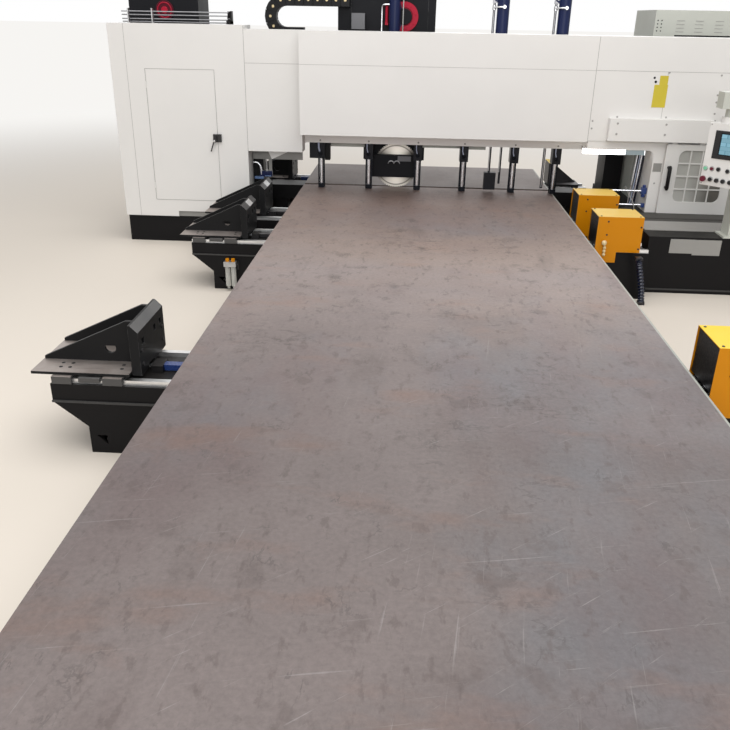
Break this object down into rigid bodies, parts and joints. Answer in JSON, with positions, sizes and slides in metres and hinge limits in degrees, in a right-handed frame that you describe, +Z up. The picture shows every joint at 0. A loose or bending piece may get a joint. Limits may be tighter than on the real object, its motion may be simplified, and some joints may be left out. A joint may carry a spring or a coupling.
{
  "type": "cnc sawing and milling machine",
  "caption": "Gantry sawing and milling machine for steel plate, with clamping stations, hold-down rods, cross-travelling saw, white sheet covers, sliding door and control panel.",
  "frame": {"origin": "on the floor under the middle of the whole machine's outline", "axes": "+X to the right seen from the loading side, +Y from the loading side to the far side along the plate, +Z up"},
  "size_m": [4.8, 7.005, 2.04],
  "materials": {
    "casing": "satin sheet-metal enamel",
    "machine_black": "satin black enamel",
    "plate_steel": "brown grey mill scale, scratched",
    "bright_steel": "ground steel",
    "dark_steel": "dark machined steel, oiled",
    "clamp_grey": "grey enamel, worn",
    "yellow": "gloss yellow enamel",
    "blue_paint": "satin blue enamel",
    "saw_grey": "dark grey enamel",
    "chrome_rod": "hard chrome",
    "chain_black": "matte black plastic",
    "light": "white diffuser",
    "red_button": "gloss red plastic",
    "green_button": "gloss green plastic",
    "black_plastic": "black plastic",
    "screen": "dark screen",
    "clear_bowl": "clear bowls, yellow cap"
  },
  "bodies": {
    "machine": {"station_frame_1": "machine_black", "station_frame_2": "machine_black", "station_frame_3": "machine_black", "station_frame_4": "machine_black", "guide_rails": "bright_steel", "clamp_cylinders": "blue_paint", "hold_down_beam": "casing", "hold_down_cylinders": "dark_steel", "lift_cylinders": "blue_paint", "bed_left": "machine_black", "bed_right": "machine_black", "left_cabinet": "casing", "link_cover": "casing", "beam_cover": "casing", "right_cover": "casing", "right_frame": "casing", "light_strip": "light", "track_cover": "casing", "control_pedestal": "machine_black", "gantry_beam": "machine_black", "electrical_cabinet": "casing", "air_unit": "clear_bowl", "outfeed_table": "machine_black", "steel_plate": "plate_steel"},
    "left_clamp_1": {"left_carriage_1": "dark_steel", "left_jaw_1": "clamp_grey"},
    "right_clamp_1": {"right_carriage_1": "dark_steel", "yellow_cover_1": "yellow"},
    "left_clamp_2": {"left_carriage_2": "dark_steel", "left_jaw_2": "clamp_grey"},
    "right_clamp_2": {"right_carriage_2": "dark_steel", "yellow_cover_2": "yellow"},
    "left_clamp_3": {"left_carriage_3": "dark_steel", "left_jaw_3": "clamp_grey"},
    "right_clamp_3": {"right_carriage_3": "dark_steel", "yellow_cover_3": "yellow"},
    "left_clamp_4": {"left_carriage_4": "dark_steel"},
    "right_clamp_4": {"right_carriage_4": "dark_steel"},
    "hold_down_1": {"hold_down_rod_1": "chrome_rod"},
    "hold_down_2": {"hold_down_rod_2": "chrome_rod"},
    "hold_down_3": {"hold_down_rod_3": "chrome_rod"},
    "hold_down_4": {"hold_down_rod_4": "chrome_rod"},
    "hold_down_5": {"hold_down_rod_5": "chrome_rod"},
    "hold_down_6": {"hold_down_rod_6": "chrome_rod"},
    "saw_traverse": {"saw_slide": "saw_grey"},
    "saw_feed": {"saw_head": "saw_grey", "saw_gearbox": "saw_grey", "cable_chain": "chain_black"},
    "blade": {"saw_blade": "bright_steel"},
    "milling": {"milling_head": "saw_grey"},
    "side_door": {"cabinet_door": "casing"},
    "lock": {"door_lock": "chrome_rod"},
    "front_door": {"sliding_door": "casing", "pull_handle": "black_plastic"},
    "panel": {"control_panel": "casing", "panel_screen": "screen"},
    "emergency": {"emergency_button": "red_button"},
    "start": {"start_button": "green_button"},
    "stop": {"stop_button": "red_button"},
    "selector": {"selector_knob": "black_plastic"}
  },
  "joints": [
    {"name": "left_clamp_slide_1", "type": "slide", "parent": "machine", "child": "left_clamp_1", "axis": [1, 0, 0], "range_m": [-0.04, 0.19]},
    {"name": "right_clamp_slide_1", "type": "slide", "parent": "machine", "child": "right_clamp_1", "axis": [-1, 0, 0], "range_m": [0, 0.08]},
    {"name": "left_clamp_slide_2", "type": "slide", "parent": "machine", "child": "left_clamp_2", "axis": [1, 0, 0], "range_m": [-0.04, 0.19]},
    {"name": "right_clamp_slide_2", "type": "slide", "parent": "machine", "child": "right_clamp_2", "axis": [-1, 0, 0], "range_m": [0, 0.08]},
    {"name": "left_clamp_slide_3", "type": "slide", "parent": "machine", "child": "left_clamp_3", "axis": [1, 0, 0], "range_m": [-0.04, 0.19]},
    {"name": "right_clamp_slide_3", "type": "slide", "parent": "machine", "child": "right_clamp_3", "axis": [-1, 0, 0], "range_m": [0, 0.08]},
    {"name": "left_clamp_slide_4", "type": "slide", "parent": "machine", "child": "left_clamp_4", "axis": [1, 0, 0], "range_m": [-0.04, 0.19]},
    {"name": "right_clamp_slide_4", "type": "slide", "parent": "machine", "child": "right_clamp_4", "axis": [-1, 0, 0], "range_m": [0, 0.08]},
    {"name": "hold_down_lift_1", "type": "slide", "parent": "machine", "child": "hold_down_1", "axis": [0, 0, 1], "range_m": [0, 0.15]},
    {"name": "hold_down_lift_2", "type": "slide", "parent": "machine", "child": "hold_down_2", "axis": [0, 0, 1], "range_m": [0, 0.15]},
    {"name": "hold_down_lift_3", "type": "slide", "parent": "machine", "child": "hold_down_3", "axis": [0, 0, 1], "range_m": [0, 0.15]},
    {"name": "hold_down_lift_4", "type": "slide", "parent": "machine", "child": "hold_down_4", "axis": [0, 0, 1], "range_m": [0, 0.15]},
    {"name": "hold_down_lift_5", "type": "slide", "parent": "machine", "child": "hold_down_5", "axis": [0, 0, 1], "range_m": [0, 0.15]},
    {"name": "hold_down_lift_6", "type": "slide", "parent": "machine", "child": "hold_down_6", "axis": [0, 0, 1], "range_m": [0, 0.15]},
    {"name": "saw_cross_travel", "type": "slide", "parent": "machine", "child": "saw_traverse", "axis": [1, 0, 0], "range_m": [-0.8, 1.35]},
    {"name": "saw_down_feed", "type": "slide", "parent": "saw_traverse", "child": "saw_feed", "axis": [0, 0, 1], "range_m": [0, 0.2]},
    {"name": "blade_spin", "type": "hinge", "parent": "saw_feed", "child": "blade", "pos_m": [-0.252, 2.5225, 0.603], "axis": [0, 1, 0], "continuous": true},
    {"name": "milling_cross_travel", "type": "slide", "parent": "machine", "child": "milling", "axis": [1, 0, 0], "range_m": [0, 0.2]},
    {"name": "cabinet_door_hinge", "type": "hinge", "parent": "machine", "child": "side_door", "pos_m": [-2.144, 2.1975, 0.8285], "axis": [0, 0, -1], "range_deg": [0, 110]},
    {"name": "lock_turn", "type": "hinge", "parent": "side_door", "child": "lock", "pos_m": [-1.639, 2.1855, 0.826], "axis": [0, 1, 0], "range_deg": [0, 70]},
    {"name": "front_door_slide", "type": "slide", "parent": "machine", "child": "front_door", "axis": [1, 0, 0], "range_m": [-0.32, 0]},
    {"name": "panel_swing", "type": "hinge", "parent": "machine", "child": "panel", "pos_m": [1.83839, 1.31568, 1.134], "axis": [0, 0, 1], "range_deg": [-40, 10]},
    {"name": "emergency_press", "type": "slide", "parent": "panel", "child": "emergency", "axis": [0.7071, 0.7071, 0], "range_m": [0, 0.004], "stiffness_N_per_m": 300},
    {"name": "start_press", "type": "slide", "parent": "panel", "child": "start", "axis": [0.7071, 0.7071, 0], "range_m": [0, 0.004], "stiffness_N_per_m": 200},
    {"name": "stop_press", "type": "slide", "parent": "panel", "child": "stop", "axis": [0.7071, 0.7071, 0], "range_m": [0, 0.004], "stiffness_N_per_m": 200},
    {"name": "selector_turn", "type": "hinge", "parent": "panel", "child": "selector", "pos_m": [1.79808, 1.29942, 0.776], "axis": [0.7071, 0.7071, 0], "range_deg": [-45, 45]}
  ]
}
